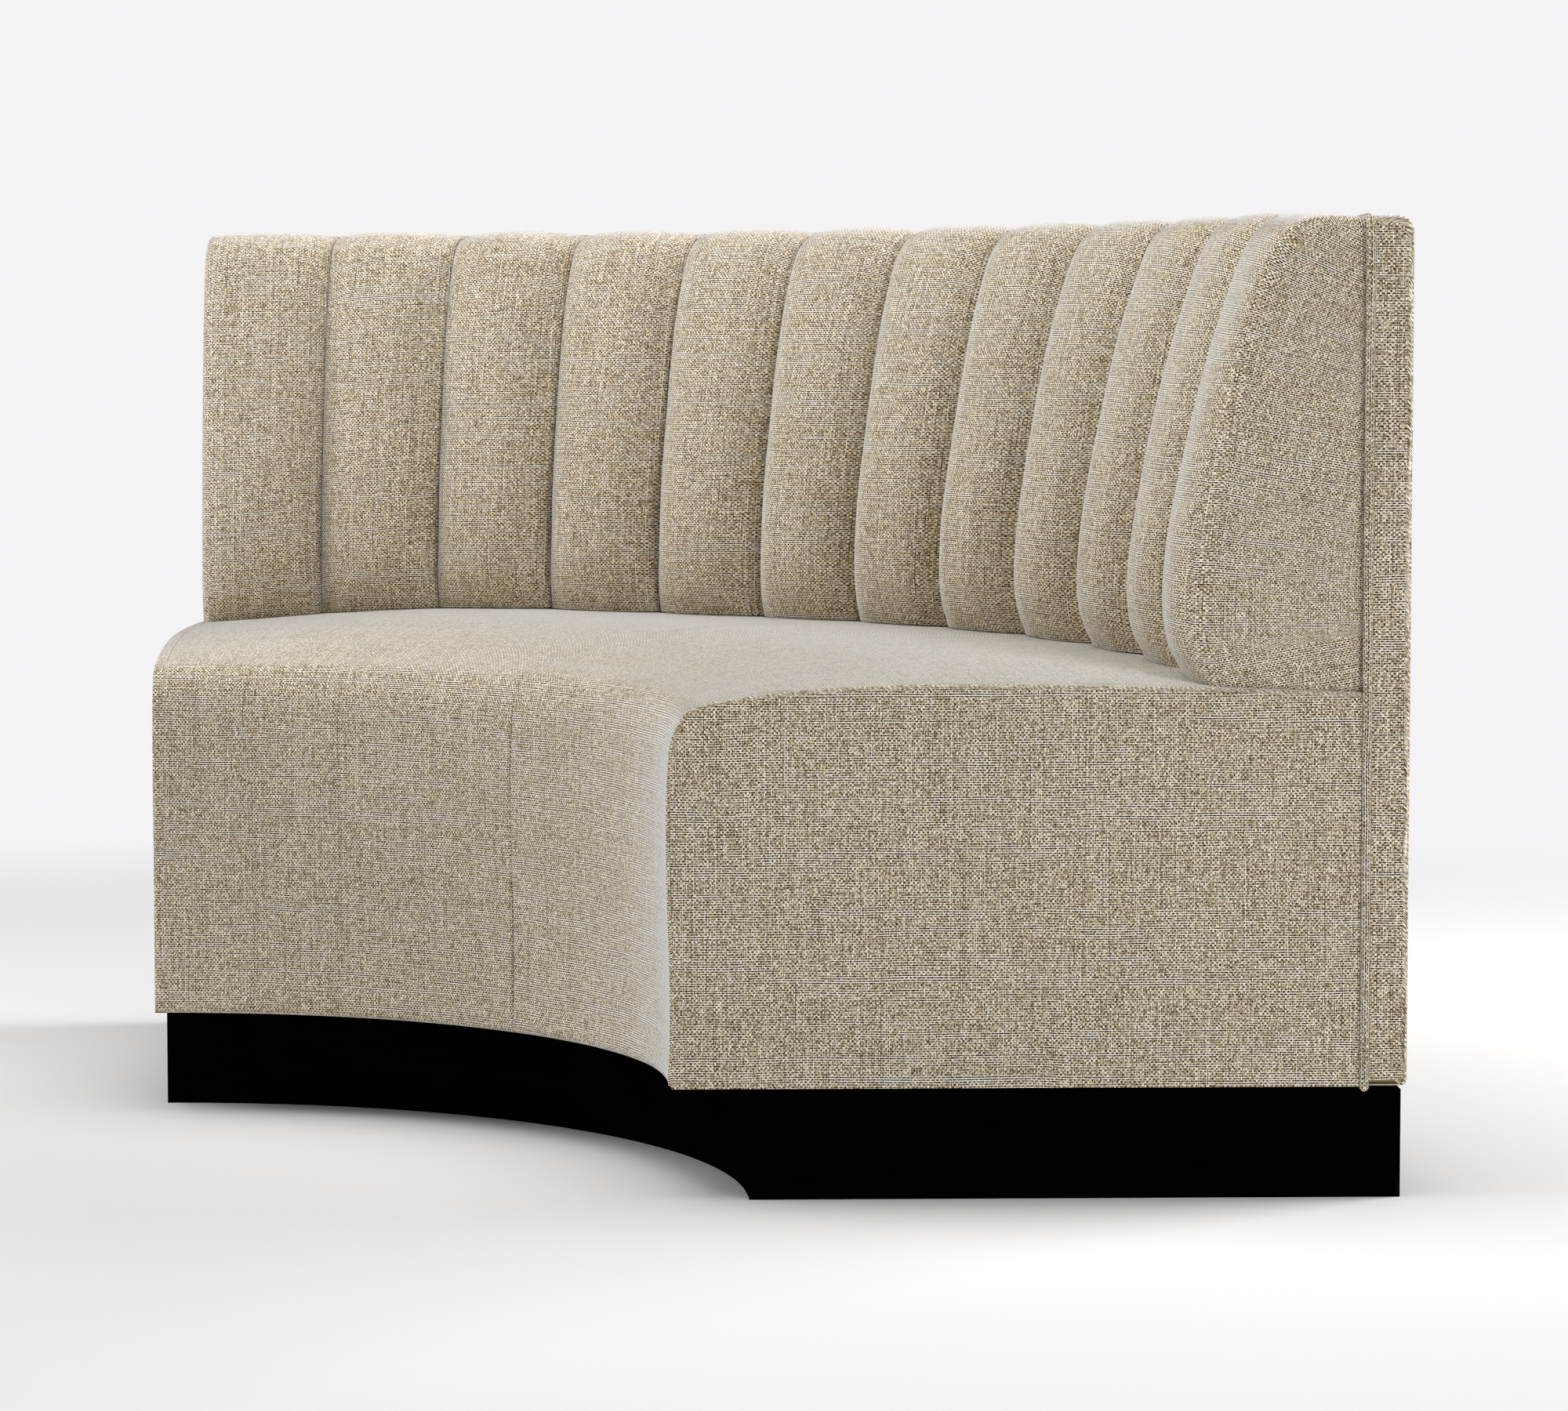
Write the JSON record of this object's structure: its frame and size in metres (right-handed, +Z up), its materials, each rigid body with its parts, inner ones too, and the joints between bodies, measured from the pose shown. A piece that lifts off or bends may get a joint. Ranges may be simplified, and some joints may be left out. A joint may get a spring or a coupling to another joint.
{
  "type": "banquette bench",
  "caption": "Quarter-round upholstered banquette bench with a crowned seat, an upright channelled back and a recessed plinth.",
  "frame": {"origin": "on the floor, at the middle of the footprint's bounding box, which lies on the bottom of the plinth's middle rib", "axes": "+Z up; -Y the way a sitter faces; +X to the right as seen from the front"},
  "size_m": [1.7158, 0.8422, 0.917],
  "materials": {
    "upholstery_fabric": "coarse linen-look plain weave over fibre wrap",
    "plinth_black": "matte black lacquer",
    "birch_plywood": "raw birch plywood",
    "rib_plywood": "raw sawn edges",
    "zinc_screws": "zinc plated",
    "seat_foam": "open-cell polyurethane foam"
  },
  "bodies": {
    "root": {"plinth_front_kick": "plinth_black", "plinth_rear_kick": "plinth_black", "plinth_end_right": "plinth_black", "plinth_end_left": "plinth_black", "plinth_blocks": "rib_plywood", "plinth_screws": "zinc_screws", "base_panel": "plinth_black", "rib_gussets": "birch_plywood", "gusset_screws": "zinc_screws", "base_screws": "zinc_screws", "deck_cleat": "rib_plywood", "seat_deck": "birch_plywood", "deck_screws": "zinc_screws", "seat_front_board": "birch_plywood", "seat_foam": "seat_foam", "seat_cover_right": "upholstery_fabric", "seat_cover_left": "upholstery_fabric", "seat_end_cover_right": "upholstery_fabric", "seat_end_cover_left": "upholstery_fabric", "back_top_rail": "rib_plywood", "rail_screws": "zinc_screws", "back_inner_board": "birch_plywood", "back_outer_board": "birch_plywood", "back_end_cover_right": "upholstery_fabric", "back_end_cover_left": "upholstery_fabric", "outer_back_pad": "upholstery_fabric", "welt": "upholstery_fabric", "plinth_rib_1": "rib_plywood", "plinth_rib_2": "rib_plywood", "plinth_rib_3": "rib_plywood", "seat_rib_1": "rib_plywood", "seat_rib_2": "rib_plywood", "seat_rib_3": "rib_plywood", "seat_rib_4": "rib_plywood", "seat_rib_5": "rib_plywood", "back_rib_1": "rib_plywood", "back_rib_2": "rib_plywood", "back_rib_3": "rib_plywood", "back_rib_4": "rib_plywood", "back_rib_5": "rib_plywood", "back_channel_1": "upholstery_fabric", "back_channel_2": "upholstery_fabric", "back_channel_3": "upholstery_fabric", "back_channel_4": "upholstery_fabric", "back_channel_5": "upholstery_fabric", "back_channel_6": "upholstery_fabric", "back_channel_7": "upholstery_fabric", "back_channel_8": "upholstery_fabric", "back_channel_9": "upholstery_fabric", "back_channel_10": "upholstery_fabric", "back_channel_11": "upholstery_fabric", "back_channel_12": "upholstery_fabric"}
  },
  "joints": []
}
